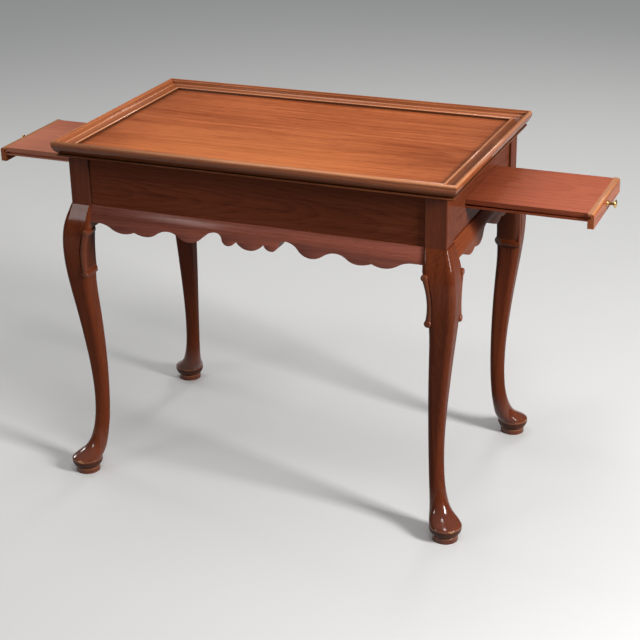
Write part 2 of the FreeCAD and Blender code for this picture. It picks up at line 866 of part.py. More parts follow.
frieze_face = post_x - size.frieze_setback
frieze_inside = post_x - frieze_back
lip_closed = frieze_face + size.running_clearance
lip_inside = lip_closed + size.slide_travel
slide_length = lip_closed - size.centre_stop_thickness / 2 - size.slide_end_clearance
knob_stem = size.lip_thickness - size.lip_tongue_length - size.tip_clearance * 2
slide_half = size.slide_width / 2
groove_foot = slide_bottom + size.slide_groove_level
groove_top = groove_foot + size.slide_groove_height


def lip_profile():
    foot = slide_top - size.lip_height
    outer = lip_inside + size.lip_thickness
    middle = slide_top - size.slide_thickness / 2
    half = size.lip_tongue_thickness / 2 + size.joint_clearance
    depth = lip_inside + size.lip_tongue_length + size.tip_clearance
    return [
        (lip_inside, foot),
        (outer, foot),
        (outer, slide_top - size.lip_round, size.lip_round),
        (outer - size.lip_round, slide_top),
        (lip_inside, slide_top),
        (lip_inside, middle + half),
        (depth, middle + half),
        (depth, middle - half),
        (lip_inside, middle - half),
    ]


def knob_body():
    """A turned pull with a flange, a thin neck and a domed head, on a stem in the lip."""
    head = size.knob_projection - size.knob_head_thickness
    throat = (size.knob_neck_radius, head / 2)
    head_edge = (size.knob_head_radius, head)
    dome = size.knob_head_thickness / 2
    dome_radius = (size.knob_head_radius * size.knob_head_radius + dome * dome) / (dome * 2)
    return turned("slide_right_knob_turning", "XY_Plane", [
        (NOTHING, -knob_stem),
        (size.knob_stem_radius, -knob_stem),
        (size.knob_stem_radius, NOTHING),
        (size.knob_flange_radius, NOTHING),
        (size.knob_flange_radius, size.knob_flange_thickness / 2),
        (size.knob_neck_radius, size.knob_flange_thickness),
        (*throat, -bowed(throat, head_edge, size.knob_throat_bow)),
        head_edge,
        (size.knob_head_radius, head + dome, dome_radius),
        (NOTHING, size.knob_projection),
    ])


def make_slide():
    """The right slide: its grooved board, lip, pull and stop pins."""
    inner_end = lip_inside - slide_length
    board = box("slide_plank", (inner_end, lip_inside), (-slide_half, slide_half),
                (slide_bottom, slide_top))
    middle = slide_top - size.slide_thickness / 2
    tongue = box("slide_tongue", (lip_inside, lip_inside + size.lip_tongue_length),
                 (-slide_half, slide_half),
                 (middle - size.lip_tongue_thickness / 2, middle + size.lip_tongue_thickness / 2))
    grooves = [box(f"slide_groove_{name}", (inner_end, lip_inside), limits,
                   (groove_foot, groove_top))
               for name, limits in (("front", (-slide_half, size.slide_groove_depth - slide_half)),
                                    ("back", (slide_half - size.slide_groove_depth, slide_half)))]
    pin_x = frieze_inside - size.running_clearance - size.stop_pin_radius
    pins, pin_holes = [], []
    for name, side in (("front", -1), ("back", 1)):
        pin_y = size.stop_pin_spacing / 2 * side
        foot = slide_bottom + size.stop_pin_cover
        pins.append(upright_cylinder(f"slide_pin_{name}", size.stop_pin_radius, pin_x, pin_y,
                                     (foot, slide_top + size.stop_pin_stand)))
        pin_holes.append(upright_cylinder(f"slide_pin_hole_{name}", size.stop_pin_radius,
                                          pin_x, pin_y, (foot, slide_top)))
    blank = fuse("slide_blank", [board, tongue])
    lip = padded("slide_lip_blank", "XZ_Plane", lip_profile(),
                 size.slide_width + size.lip_overlap * 2, symmetric=True)
    knob = knob_body()
    face = lip_inside + size.lip_thickness
    knob.Placement = FreeCAD.Placement(V(0, 0, 0), FreeCAD.Rotation(V(0, 0, 1), -90))
    bind(knob, "Placement.Base.x", face)
    bind(knob, "Placement.Base.z", slide_top - size.knob_drop)
    pilot = doc.addObject("Part::Cylinder", "slide_lip_pilot")
    pilot.Placement = FreeCAD.Placement(V(0, 0, 0), FreeCAD.Rotation(V(0, 1, 0), -90))
    bind(pilot, "Radius", size.knob_stem_radius)
    bind(pilot, "Height", knob_stem)
    bind(pilot, "Placement.Base.x", face)
    bind(pilot, "Placement.Base.z", slide_top - size.knob_drop)
    return {
        "board": cut("slide_right_board", blank, fuse("slide_cuts", grooves + pin_holes)),
        "lip": cut("slide_right_lip", lip, pilot),
        "knob": knob,
        "stop_pins": fuse("slide_right_stop_pins", pins),
    }


def make_slides():
    for kind, right in make_slide().items():
        piece(f"slide_right_{kind}", right)
        piece(f"slide_left_{kind}", mirrored(f"slide_left_{kind}", right, ACROSS_LENGTH))


def make_runners():
    """Rails between the end friezes, each with a tongue in the grooves of both slides."""
    side = slide_half + size.side_clearance
    foot = slide_bottom - size.runner_below_slide
    rail = box("slide_runner_rail", (-frieze_inside, frieze_inside),
               (-side - size.runner_width, -side), (foot, foot + size.runner_height))
    tip = -slide_half + size.slide_groove_depth - size.side_clearance
    tongue_top = groove_top - size.running_clearance
    tongue = box("slide_runner_tongue", (-frieze_inside, frieze_inside), (-side, tip),
                 (groove_foot + size.running_clearance, tongue_top))
    front = piece("slide_runner_front", fuse("slide_runner_front", [rail, tongue]))
    piece("slide_runner_back", mirrored("slide_runner_back", front, ACROSS_DEPTH))
    half = size.centre_stop_thickness / 2
    stop_foot = tongue_top + size.tip_clearance
    piece("slide_centre_stop", box("slide_centre_stop", (-half, half), (-side, side),
                                   (stop_foot, stop_foot + size.centre_stop_height)))


def write_parts():
    """Recomputes, checks every object and writes each sub-part to its own file."""
    doc.recompute()
    for item in doc.Objects:
        if {"Invalid", "Error"} & set(item.State):
            raise RuntimeError(f"{item.Label} failed: {item.State}")
    for item in subparts:
        if item.Shape.isNull() or not item.Shape.isValid() or not item.Shape.Solids:
            raise RuntimeError(f"{item.Label} has no valid solid")
    os.makedirs("parts", exist_ok=True)
    for item in subparts:
        item.Shape.exportStep(f"parts/{item.Label}.step")
        print(f"{item.Label}: {len(item.Shape.Solids)} solid(s), {item.Shape.Volume / 1000:.1f} cm3")


make_top(screw_holes)
make_long_friezes()
make_end_friezes()
make_aprons()
make_legs()
make_slides()
make_runners()
write_parts()
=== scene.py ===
"""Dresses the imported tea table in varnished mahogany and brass, and stands it on a plain stage."""

import math

import bmesh
import bpy
from mathutils import Matrix, Vector


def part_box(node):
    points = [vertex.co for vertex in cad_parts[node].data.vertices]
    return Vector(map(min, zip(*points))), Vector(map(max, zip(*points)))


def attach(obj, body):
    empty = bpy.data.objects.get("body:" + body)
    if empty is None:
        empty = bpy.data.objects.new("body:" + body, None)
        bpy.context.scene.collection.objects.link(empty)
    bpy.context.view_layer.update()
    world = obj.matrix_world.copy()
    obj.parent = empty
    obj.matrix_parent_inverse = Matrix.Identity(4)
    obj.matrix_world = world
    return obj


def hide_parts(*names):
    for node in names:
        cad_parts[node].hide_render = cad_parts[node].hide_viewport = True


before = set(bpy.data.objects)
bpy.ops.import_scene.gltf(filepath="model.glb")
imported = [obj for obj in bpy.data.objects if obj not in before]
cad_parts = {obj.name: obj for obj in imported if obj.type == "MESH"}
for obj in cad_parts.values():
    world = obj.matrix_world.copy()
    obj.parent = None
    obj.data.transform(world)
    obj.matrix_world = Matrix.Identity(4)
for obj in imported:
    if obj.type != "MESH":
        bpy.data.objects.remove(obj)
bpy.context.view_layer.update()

bl_info = {
    "name": "Tea table",
    "version": (1, 0, 0),
    "blender": (4, 5, 0),
    "location": "3D View > Sidebar > Tea table",
    "description": "Dresses a tea table with two candle slides and stands it on a stage",
    "category": "Object",
}

LONG_SIDES = ("front", "back")
END_SIDES = ("left", "right")
CORNERS = ("front_left", "front_right", "back_left", "back_right")
GRAIN_ORDER = {"X": (0, 1, 2), "Y": (1, 0, 2), "Z": (2, 0, 1)}


# Settings that a user may change

def length(name, description, default):
    return bpy.props.FloatProperty(name=name, description=description, default=default, min=0.0,
                                   precision=4, subtype="DISTANCE", unit="LENGTH")


def colour(name, description, default):
    return bpy.props.FloatVectorProperty(name=name, description=description, default=default,
                                         size=3, min=0.0, max=1.0, subtype="COLOR")


def angle(name, description, degrees):
    return bpy.props.FloatProperty(name=name, description=description,
                                   default=math.radians(degrees), subtype="ANGLE", unit="ROTATION")


def power(name, description, default):
    return bpy.props.FloatProperty(name=name, description=description, default=default, min=0.0,
                                   subtype="POWER", unit="POWER")


class TeaTableSizes(bpy.types.PropertyGroup):
    """Sizes of the softened edges, the scrolls, the pulls and the screws."""

    board_arris: length("Board arris", "Softened edge of the slides and the friezes", 0.0007)
    moulding_arris: length("Moulding arris", "Softened edge of the rims, necks and aprons", 0.0005)
    scroll_arris: length("Scroll arris", "Softened edge of the scroll brackets", 0.0006)
    upper_roll: length("Upper roll", "Radius of the upper roll of a scroll", 0.0065)
    lower_roll: length("Lower roll", "Radius of the lower roll of a scroll", 0.0067)
    lower_roll_setback: length("Lower roll setback", "How far the lower roll is set back", 0.0066)
    boss_relief: length("Boss relief", "How far a boss stands out of its roll", 0.0036)
    band_bow: length("Band bow", "How far a scroll's band bows towards its leg", 0.0062)
    bead_width: length("Bead width", "Width of the bead round a scroll", 0.0104)
    bead_relief: length("Bead relief", "How far the bead stands out of its scroll", 0.0030)
    rough_arris: length("Rough arris", "Softened edge of the unseen rails and blocks", 0.0004)
    pull_sink: length("Pull sink", "How far the pull is let into the lip", 0.0015)
    pull_flange: length("Pull flange", "Radius of the flange that lies on the lip", 0.0055)
    pull_neck: length("Pull neck", "Radius of the thinnest part of the pull", 0.0026)
    pull_head: length("Pull head", "Radius of the domed head of the pull", 0.008)
    pull_reach: length("Pull reach", "How far the pull stands out of the lip", 0.017)
    screw_head: length("Screw head", "Radius of the screw heads", 0.004)
    screw_shank: length("Screw shank", "Radius of the screw shanks", 0.002)
    screw_head_height: length("Screw head height", "Height of the screw heads", 0.0025)
    screw_slot: length("Screw slot", "Width of the slot in a screw head", 0.0011)
    screw_slot_depth: length("Screw slot depth", "Depth of the slot in a screw head", 0.0012)
    screw_from_rail: length("Screw from rail", "From the inside of a rail to its screws", 0.010)
    screw_from_end: length("Screw from end", "From the far end of a block to its screw", 0.02475)


class TeaTableColours(bpy.types.PropertyGroup):
    """Light and dark tones of every wood and metal."""

    tray_dark: colour("Tray dark", "Dark grain of the tray board", (0.272, 0.057, 0.0143))
    tray_light: colour("Tray light", "Light grain of the tray board", (0.568, 0.158, 0.053))
    # Painted light on the front of the tray board
    tray_sunlit: colour("Tray sunlit", "Bleached front of the tray board", (0.820, 0.270, 0.085))
    rim_dark: colour("Rim dark", "Dark grain of the rims and necks", (0.160, 0.038, 0.012))
    rim_light: colour("Rim light", "Light grain of the rims and necks", (0.380, 0.112, 0.038))
    frieze_dark: colour("Frieze dark", "Dark grain of the friezes", (0.078, 0.0155, 0.0060))
    frieze_light: colour("Frieze light", "Light grain of the friezes", (0.165, 0.0420, 0.0175))
    apron_dark: colour("Apron dark", "Dark grain of the long aprons", (0.140, 0.036, 0.022))
    apron_light: colour("Apron light", "Light grain of the long aprons", (0.270, 0.082, 0.054))
    end_dark: colour("End apron dark", "Dark grain of the end aprons", (0.110, 0.023, 0.0080))
    end_light: colour("End apron light", "Light grain of the end aprons", (0.230, 0.058, 0.0210))
    leg_dark: colour("Leg dark", "Dark grain of the legs and scrolls", (0.072, 0.0130, 0.0040))
    leg_light: colour("Leg light", "Light grain of the legs and scrolls", (0.164, 0.0365, 0.0122))
    slide_dark: colour("Slide dark", "Dark grain of the slide boards", (0.270, 0.052, 0.0195))
    slide_light: colour("Slide light", "Light grain of the slide boards", (0.480, 0.118, 0.052))
    lip_dark: colour("Lip dark", "Dark grain of the slide lips", (0.200, 0.042, 0.012))
    lip_light: colour("Lip light", "Light grain of the slide lips", (0.400, 0.112, 0.036))
    inner_dark: colour("Inner dark", "Dark grain of the unseen rails", (0.270, 0.140, 0.060))
    inner_light: colour("Inner light", "Light grain of the unseen rails", (0.480, 0.290, 0.145))
    # Worn wood, and also painted highlight on the lips' tops, the edges of the pads and discs and
    # the scrolls' beads
    bare_wood_and_highlight: colour("Bare wood", "Wood that shows through worn varnish", (0.500, 0.235, 0.105))
    faded_wood: colour("Faded wood", "Wood that the sun has bleached", (0.780, 0.360, 0.240))
    # Painted highlight on the crest and ridges of the rims
    ridge_highlight: colour("Rubbed wood", "Ridges that hands have rubbed pale", (0.660, 0.285, 0.130))
    # Dust on the unseen rails; elsewhere painted shade along and under the rims, at the ends of the
    # tray board, under the pads, on the posts' inner faces, behind the scrolls and near the table on
    # the slides
    grime_and_shade: colour("Grime", "Old polish and dust in the corners", (0.030, 0.012, 0.007))
    brass: colour("Brass", "Handled brass of the pulls", (0.610, 0.420, 0.165))
    brass_dull: colour("Dull brass", "Tarnish in the hollows of the pulls", (0.230, 0.130, 0.045))
    steel: colour("Steel", "Bright part of the screws", (0.420, 0.410, 0.400))
    steel_dull: colour("Dull steel", "Oxide on the screws", (0.120, 0.100, 0.085))


class TeaTableStage(bpy.types.PropertyGroup):
    """Floor, lamps and camera."""

    floor_half: length("Floor half width", "Half of the width of the floor", 30.0)
    floor_pale: colour("Floor", "Colour of the floor as it is seen", (0.640, 0.630, 0.610))
    floor_bounce: colour("Floor bounce", "Colour of the light that the floor sends back up",
                         (0.170, 0.165, 0.160))
    sky_high: colour("Sky overhead", "Light from straight above", (0.440, 0.455, 0.480))
    sky_low: colour("Sky low", "Light from the level of the table", (0.090, 0.090, 0.088))
    side_power: power("Side lamp", "Power of the lamp on the right", 125.0)
    top_power: power("Top lamp", "Power of the wide lamp overhead", 13.0)
    back_power: power("Back lamp", "Power of the lamp behind the table", 16.0)
    front_power: power("Front lamp", "Power of the lamp at the front left", 13.0)
    high_power: power("High lamp", "Power of the small lamp high in front of the table", 10.0)
    left_power: power("Left lamp", "Power of the small lamp low on the left", 9.0)
    camera_place: bpy.props.FloatVectorProperty(
        name="Camera place", description="Where the camera stands", size=3,
        default=(1.0774, -2.4979, 1.4694), subtype="XYZ", unit="LENGTH")
    camera_turn: angle("Camera turn", "How far the camera stands round to the right", 22.574)
    camera_rise: angle("Camera rise", "How steeply the camera looks down", 23.587)
    camera_roll: angle("Camera roll", "How far the camera is tilted to one side", -1.066)
    lens: bpy.props.FloatProperty(name="Lens", description="Focal length of the camera",
                                  default=86.09, min=1.0, unit="CAMERA")


# Shader maths

class Wire:
    """One output of a shader node, so that sums on it add the nodes that they need."""

    def __init__(self, finish, socket):
        self.finish = finish
        self.socket = socket

    def output(self, name):
        return Wire(self.finish, self.socket.node.outputs[name])

    def maths(self, operation, *values):
        return self.finish.node("ShaderNodeMath", {"operation": operation},
                                dict(enumerate(values)))

    def __add__(self, other):
        return self.maths("ADD", self, other)

    def __sub__(self, other):
        return self.maths("SUBTRACT", self, other)

    def __rsub__(self, other):
        return self.maths("SUBTRACT", other, self)

    def __mul__(self, other):
        return self.maths("MULTIPLY", self, other)

    def __truediv__(self, other):
        return self.maths("DIVIDE", self, other)

    def __pow__(self, other):
        return self.maths("POWER", self, other)

    def __abs__(self):
        return self.maths("ABSOLUTE", self)

    __radd__ = __add__
    __rmul__ = __mul__

    def root(self):
        return self.maths("SQRT", self)

    def fraction(self):
        return self.maths("FRACT", self)

    def least(self, other):
        return self.maths("MINIMUM", self, other)

    def most(self, other):
        return self.maths("MAXIMUM", self, other)

    def rise(self, start, end):
        """Climbs smoothly from 0 at start to 1 at end."""
        return self.finish.node("ShaderNodeMapRange", {"interpolation_type": "SMOOTHSTEP"},
                                {"Value": self, "From Min": start, "From Max": end})


class Finish:
    """A material or world while its nodes are laid out."""

    def __init__(self, block):
        self.block = block
        block.use_nodes = True
        self.tree = block.node_tree

    def node(self, kind, settings=None, sockets=None, output=0):
        """A new node with its settings made first, then its sockets set or linked."""
        made = self.tree.nodes.new(kind)
        for name, value in (settings or {}).items():
            setattr(made, name, value)
        for name, value in (sockets or {}).items():
            self.feed(made.inputs[name], value)
        return Wire(self, made.outputs[output])

    def feed(self, socket, value):
        """Links a wire to a socket, or sets a plain value on it."""
        if isinstance(value, Wire):
            self.tree.links.new(value.socket, socket)
        else:
            socket.default_value = value

    def shader(self, **sockets):
        """Sets or links sockets of the Principled shader, with _ for a space in their names."""
        principled = self.tree.nodes["Principled BSDF"]
        for name, value in sockets.items():
            self.feed(principled.inputs[name.replace("_", " ")], value)

    def axes(self):
        place = self.node("ShaderNodeTexCoord", output="Object")
        split = self.node("ShaderNodeSeparateXYZ", None, {0: place})
        return [split.output(name) for name in "XYZ"]

    def vector(self, x, y, z):
        return self.node("ShaderNodeCombineXYZ", None, {0: x, 1: y, 2: z})

    def noise(self, place, stretch, detail=2.0, roughness=0.5):
        """Noise from 0 to 1 whose three frequencies are given per metre."""
        stretched = self.node("ShaderNodeVectorMath", {"operation": "MULTIPLY"},
                              {0: place, 1: stretch})
        return self.node("ShaderNodeTexNoise", {"noise_dimensions": "3D"},
                         {"Vector": stretched, "Scale": 1.0, "Detail": detail,
                          "Roughness": roughness})

    def blend(self, amount, first, second):
        """A colour between two others."""
        first, second = [value if isinstance(value, Wire) else (*value, 1.0)
                         for value in (first, second)]
        return self.node("ShaderNodeMix", {"data_type": "RGBA"}, {0: amount, 6: first, 7: second},
                         output=2)

    def bump(self, height, strength, distance):
        return self.node("ShaderNodeBump", None,
                         {"Strength": strength, "Distance": distance, "Height": height},
                         output="Normal")

    def edge_distance(self, low, high):
        """How far a point of a straight piece lies from the nearest edge of its box."""
        x, y, z = self.axes()
        first, second, third = [(value - start).least(end - value)
                                for value, start, end in zip((abs(x), abs(y), z), low, high)]
        return first.least(second).most(first.most(second).least(third))


class Timber(Finish):
    """Wood with growth rings round its heart, fibres and pores, to be stained and varnished."""

    def __init__(self, name, dark, light, along, heart, ring, flame, figure, streaks=0.9,
                 bands=0.6, flecks=0.20, mirrored=False):
        super().__init__(bpy.data.materials.new(name))
        axes = self.axes()
        run, width, depth = [axes[index] for index in GRAIN_ORDER[along]]
        self.place = self.vector(run, width, depth)
        if mirrored:
            width, depth = abs(width), abs(depth)
        wander = self.noise(self.place, (2.2, 9.0, 9.0))
        ripple = self.noise(self.place, (13.0, 55.0, 55.0), 3.0)
        reach = ((width - heart[0]) ** 2 + (depth - heart[1]) ** 2).root()
        reach = reach + run * flame + wander * 0.045 + ripple * 0.003
        phase = (reach / ring).fraction()
        late = phase * phase * (1 - phase.rise(0.86, 1.0))
        self.fibre = self.noise(self.place, (7.0, 620.0, 620.0), 4.0, 0.62)
        streak = self.noise(self.place, (1.5, 85.0, 85.0), 4.0, 0.6)
        band = self.noise(self.place, (1.3, 21.0, 21.0))
        fleck = self.noise(self.place, (26.0, 260.0, 260.0)).rise(0.54, 0.72)
        self.cloud = self.noise(self.place, (3.2, 6.5, 6.5))
        self.pore = self.noise(self.place, (48.0, 1500.0, 1500.0), 1.0).rise(0.60, 0.72)
        tone = (0.5 + (self.fibre - 0.5) * 1.1 + (streak - 0.5) * streaks
                + (self.cloud - 0.5) * 0.7 + (band - 0.5) * bands - (late - 0.25) * figure
                - fleck * flecks)
        self.wood = self.blend(tone, dark, light)
        self.stain(self.pore * 0.45, [value * 0.35 for value in dark])

    def stain(self, amount, shade):
        """Lays a colour over the wood, by an amount from 0 to 1."""
        self.wood = self.blend(amount, self.wood, shade)

    def patchy(self, share, spread):
        """An amount that is share on the whole and varies with the clouds of the polish."""
        return share + (self.cloud - 0.5) * spread

    def chips(self, distance, reach):
        """Marks of wear that crowd along an edge: 1 on bare wood, 0 away from it."""
        rub = self.noise(self.place, (45.0, 45.0, 45.0), 5.0, 0.7)
        crowded = 1 - (distance + (0.60 - rub) * reach * 9.0).rise(0.0, reach)
        return crowded * rub.rise(0.56, 0.68)

    def varnish(self, gloss, coat, coat_roughness, dull=0.0):
        """Varnish that has sunk a little into the grain and is smeared by polish."""
        self.shader(
            Base_Color=self.wood,
            Roughness=self.patchy(gloss, 0.16) + self.pore * 0.18 + dull,
            Normal=self.bump(self.fibre * 0.35 - self.pore, 0.16, 0.0003),
            Specular_IOR_Level=0.01,
            Coat_Weight=coat,
            Coat_Roughness=coat_roughness,
            Coat_IOR=1.5,
        )
        return self.block


def new_finish(name):
    return Finish(bpy.data.materials.new(name))


# Shapes

def side_box(name):
    """The box round a node, with x and y as distances from the middle of the table."""
    low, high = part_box(name)
    spans = []
    for start, end in zip(low[:2], high[:2]):
        near, far = sorted((abs(start), abs(end)))
        spans.append((-far, far) if start < 0 < end else (near, far))
    spans.append((low[2], high[2]))
    return [span[0] for span in spans], [span[1] for span in spans]


def soften(name, width):
    """Takes the sharp edges off a node."""
    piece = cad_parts[name]
    weld = piece.modifiers.new("Weld", "WELD")
    weld.merge_threshold = 0.00001
    arris = piece.modifiers.new("Arris", "BEVEL")
    arris.width = width
    arris.segments = 2
    arris.limit_method = "ANGLE"
    arris.angle_limit = math.radians(40)
    arris.harden_normals = True


def dress(name, material):
    """Gives a node its finish."""
    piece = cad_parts[name]
    for slot in piece.material_slots:
        slot.material = material


def corners_of(geometry):
    """The vertices among some parts of a bmesh."""
    return [part for part in geometry if isinstance(part, bmesh.types.BMVert)]


def everything_in(shape):
    """All vertices, edges and faces of a bmesh."""
    return shape.verts[:] + shape.edges[:] + shape.faces[:]


def new_piece(name, shape, material, body, slot, *nodes):
    """An object made of a bmesh, which moves with a body and may stand for nodes."""
    mesh = bpy.data.meshes.new(name)
    shape.to_mesh(mesh)
    shape.free()
    mesh.materials.append(material)
    piece = bpy.data.objects.new(name, mesh)
    bpy.context.scene.collection.objects.link(piece)
    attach(piece, body)
    if nodes:
        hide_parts(*nodes)
    return piece


# Operators, one for each piece or group of like pieces

# Width of the rim, the start and end of each ridge with a painted highlight from its outer edge, and
# their blur
RIM_WIDTH = 0.034
RIM_RIDGES = ((0.0048, 0.0073), (0.0109, 0.0136), (0.0287, 0.0335))
RIDGE_BLUR = 0.0004

# Where the painted highlight on the crest, the inner part and the painted shade on the inner wall
# start to show and where they are full, from its outer edge
RIM_CREST = (0.0024, 0.0056)
RIM_INNER = (0.0125, 0.0145)
RIM_WALL = (RIM_WIDTH - 0.0007, RIM_WIDTH - 0.0001)

# The same from the foot of the rim, for the inner part, the painted shade on the underside and the
# painted shade in the quirk
RIM_INNER_FOOT = (0.006, 0.008)
RIM_UNDERSIDE = (0.001, 0.019)
RIM_QUIRK = (0.0002, 0.0009)

# How far wear reaches from an edge of each piece
RIM_WEAR = 0.0022
FRIEZE_WEAR = 0.001
PAD_WEAR = 0.0020
SLIDE_WEAR = 0.0012
LIP_WEAR = 0.0015

# Where the painted light on the front and the painted shade at the ends of the tray board change, to
# the back or to the right of its middle
SUNLIT_BACK = (-0.15, 0.05)
SUNLIT_LEFT = (-0.36, -0.20)
SUNLIT_RIGHT = (0.05, 0.30)
DIM_LEFT = (-0.36, -0.22)
DIM_RIGHT = (0.16, 0.34)

# Where the painted shade along the rim thins out on the tray board, from the rim inwards
BOARD_FOOT_SHADE = (0.0006, 0.0024)
BOARD_SHADE = (0.0, 0.016)


class TEATABLE_OT_tray(bpy.types.Operator):
    """Dress the tray board, the moulded rims and the necks"""

    bl_idname = "tea_table.tray"
    bl_label = "Tray top"

    def execute(self, context):
        colours = context.scene.tea_table_colours
        sizes = context.scene.tea_table_sizes
        low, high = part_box("rim_front")[0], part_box("rim_back")[1]
        dress("top_board", self.board_finish(colours, high))
        runs = (("X", LONG_SIDES, (-0.16, 0.60)), ("Y", END_SIDES, (0.30, 0.61)))
        for along, sides, heart in runs:
            material = self.rim_finish(colours, along, heart, low, high)
            for side in sides:
                for name in (f"rim_{side}", f"neck_{side}"):
                    dress(name, material)
                    soften(name, sizes.moulding_arris)
        return {"FINISHED"}

    def board_finish(self, colours, high):
        """Wood with painted light at the front and painted shade at the ends and along the rim."""
        board = Timber("tray_wood", colours.tray_dark, colours.tray_light, "X", (-0.05, 0.53),
                       ring=0.009, flame=0.018, figure=0.34, streaks=1.15, bands=0.9, flecks=0.42)
        x, y, _ = board.axes()
        inside = (high[0] - RIM_WIDTH - abs(x)).least(high[1] - RIM_WIDTH - abs(y))
        sunlit = (1 - y.rise(*SUNLIT_BACK)) * (1 - x.rise(*SUNLIT_RIGHT)) * x.rise(*SUNLIT_LEFT)
        # Painted light on the front of the board
        board.stain(sunlit * board.patchy(0.30, 0.4), colours.tray_sunlit)
        end = x.rise(*DIM_RIGHT).most(1 - x.rise(*DIM_LEFT))
        # Painted shade towards both ends of the board
        board.stain(end * 0.16, colours.grime_and_shade)
        corner = 1 - (inside + (board.cloud - 0.5) * 0.02).rise(*BOARD_SHADE)
        rim_foot_shade = 1 - inside.rise(*BOARD_FOOT_SHADE)
        # Painted shade on the board along the foot of the rim
        board.stain((corner * 0.35).most(rim_foot_shade * 0.75), colours.grime_and_shade)
        scuff = board.noise(board.place, (9.0, 90.0, 90.0), 5.0, 0.7).rise(0.66, 0.78)
        return board.varnish(gloss=0.27, coat=0.15, coat_roughness=0.14, dull=scuff * 0.12)

    def rim_finish(self, colours, along, heart, low, high):
        """Wood with painted highlights on its crest and ridges, worn edges, and painted shade
        underneath, in the quirk and on the wall against the board.
        """
        rim = Timber(f"rim_wood_{along.lower()}", colours.rim_dark, colours.rim_light, along,
                     heart, ring=0.005, flame=0.012, figure=0.35)
        x, y, z = rim.axes()
        outside = (high[0] - abs(x)).least(high[1] - abs(y))
        edge = outside.most(high[2] - z)
        worn = rim.chips(edge, RIM_WEAR)
        crest = 1 - edge.rise(*RIM_CREST)
        for start, end in RIM_RIDGES:
            ridge = (outside.rise(start - RIDGE_BLUR, start + RIDGE_BLUR)
                     * (1 - outside.rise(end - RIDGE_BLUR, end + RIDGE_BLUR)))
            crest = crest.most(ridge)
        level = z - low[2]
        inner = outside.rise(*RIM_INNER) * level.rise(*RIM_INNER_FOOT)
        underside = (1 - level.rise(*RIM_UNDERSIDE)) * (1 - inner)
        wall = outside.rise(*RIM_WALL) * inner
        quirk = 1 - abs(level).rise(*RIM_QUIRK)
        # Painted shade on the lower part of the rim's outer face
        rim.stain(underside * 0.5, colours.grime_and_shade)
        # Painted shade in the quirk under the rim and on the inner wall against the board
        rim.stain(quirk.most(wall) * 0.8, colours.grime_and_shade)
        # Painted highlight on the crest and ridges
        painted_highlight = crest * rim.patchy(0.55, 1.2) * (1 - underside) * (1 - wall)
        rim.stain(painted_highlight, colours.ridge_highlight)
        rim.stain(worn * 0.75, colours.bare_wood_and_highlight)
        return rim.varnish(gloss=0.30, coat=0.5 - underside * 0.4, coat_roughness=0.09,
                           dull=worn * 0.3)


class TEATABLE_OT_rails(bpy.types.Operator):
    """Dress the friezes and the scalloped aprons"""

    bl_idname = "tea_table.rails"
    bl_label = "Friezes and aprons"

    def execute(self, context):
        colours = context.scene.tea_table_colours
        sizes = context.scene.tea_table_sizes
        runs = (
            ("X", LONG_SIDES, (0.150, 0.585), colours.apron_dark, colours.apron_light, 0.28),
            ("Y", END_SIDES, (0.30, 0.58), colours.end_dark, colours.end_light, 0.1),
        )
        for along, sides, heart, apron_dark, apron_light, apron_coat in runs:
            frieze = self.frieze_finish(colours, along, heart, f"frieze_{sides[0]}")
            apron_wood = Timber(f"apron_wood_{along.lower()}", apron_dark, apron_light, along,
                                heart, ring=0.005, flame=0.03, figure=0.25, mirrored=True)
            apron = apron_wood.varnish(gloss=0.32, coat=apron_coat, coat_roughness=0.20)
            for side in sides:
                dress(f"frieze_{side}", frieze)
                soften(f"frieze_{side}", sizes.board_arris)
                dress(f"apron_{side}", apron)
                soften(f"apron_{side}", sizes.moulding_arris)
        return {"FINISHED"}

    def frieze_finish(self, colours, along, heart, name):
        """Dark wood that is a little worn along the edges of its board."""
        frieze = Timber(f"frieze_wood_{along.lower()}", colours.frieze_dark, colours.frieze_light,
                        along, heart, ring=0.0040, flame=0.045, figure=0.34, mirrored=True)
        worn = frieze.chips(frieze.edge_distance(*side_box(name)), FRIEZE_WEAR)
        frieze.stain(worn * 0.35, colours.bare_wood_and_highlight)
        return frieze.varnish(gloss=0.38, coat=0.08, coat_roughness=0.22, dull=worn * 0.2)


# Levels of the groove in the disc and of the edge of the pad, above the floor
DISC_GROOVE = 0.0094
PAD_EDGE = 0.0280

# Levels between which one part of a leg runs into the next
BOWL_FOOT = (0.0115, 0.0140)
BOWL_TOP = (0.0255, 0.0275)
FOOT_TOP = (0.05, 0.10)
KNEE_FOOT = (0.43, 0.50)
POST_FOOT = (0.541, 0.554)
RETURN_SHADE_FOOT = (0.545, 0.556)

# The inner faces of the posts in x and in y, from the middle of the table
POST_RETURN = (0.3197, 0.1747)

# Where the long outer faces of the posts begin in y, from the middle of the table
POST_LONG_FACE = (0.2130, 0.2143)

# Where the pale lines on the pad's edge and the disc's edge and the painted shade on a post's inner
# face start to fade and where they end, from their middle or from a post's face
PAD_LINE = (0.0005, 0.0013)
GROOVE_LINE = (0.0006, 0.0016)
RETURN_SHADE_LINE = (0.0003, 0.0012)

# Where the painted shade in a scroll starts and where it is full, in from its foot, its top and its
# face
HOLLOW_FOOT = (0.013, 0.017)
HOLLOW_TOP = (0.012, 0.016)
HOLLOW_DEPTH = (0.002, 0.011)

# Where the wear and painted highlight on a scroll fade, in from its face
RAISED_FACE = (-0.0034, -0.0016)

# Stretches of the route of a scroll's band
BAND_STEPS = 14


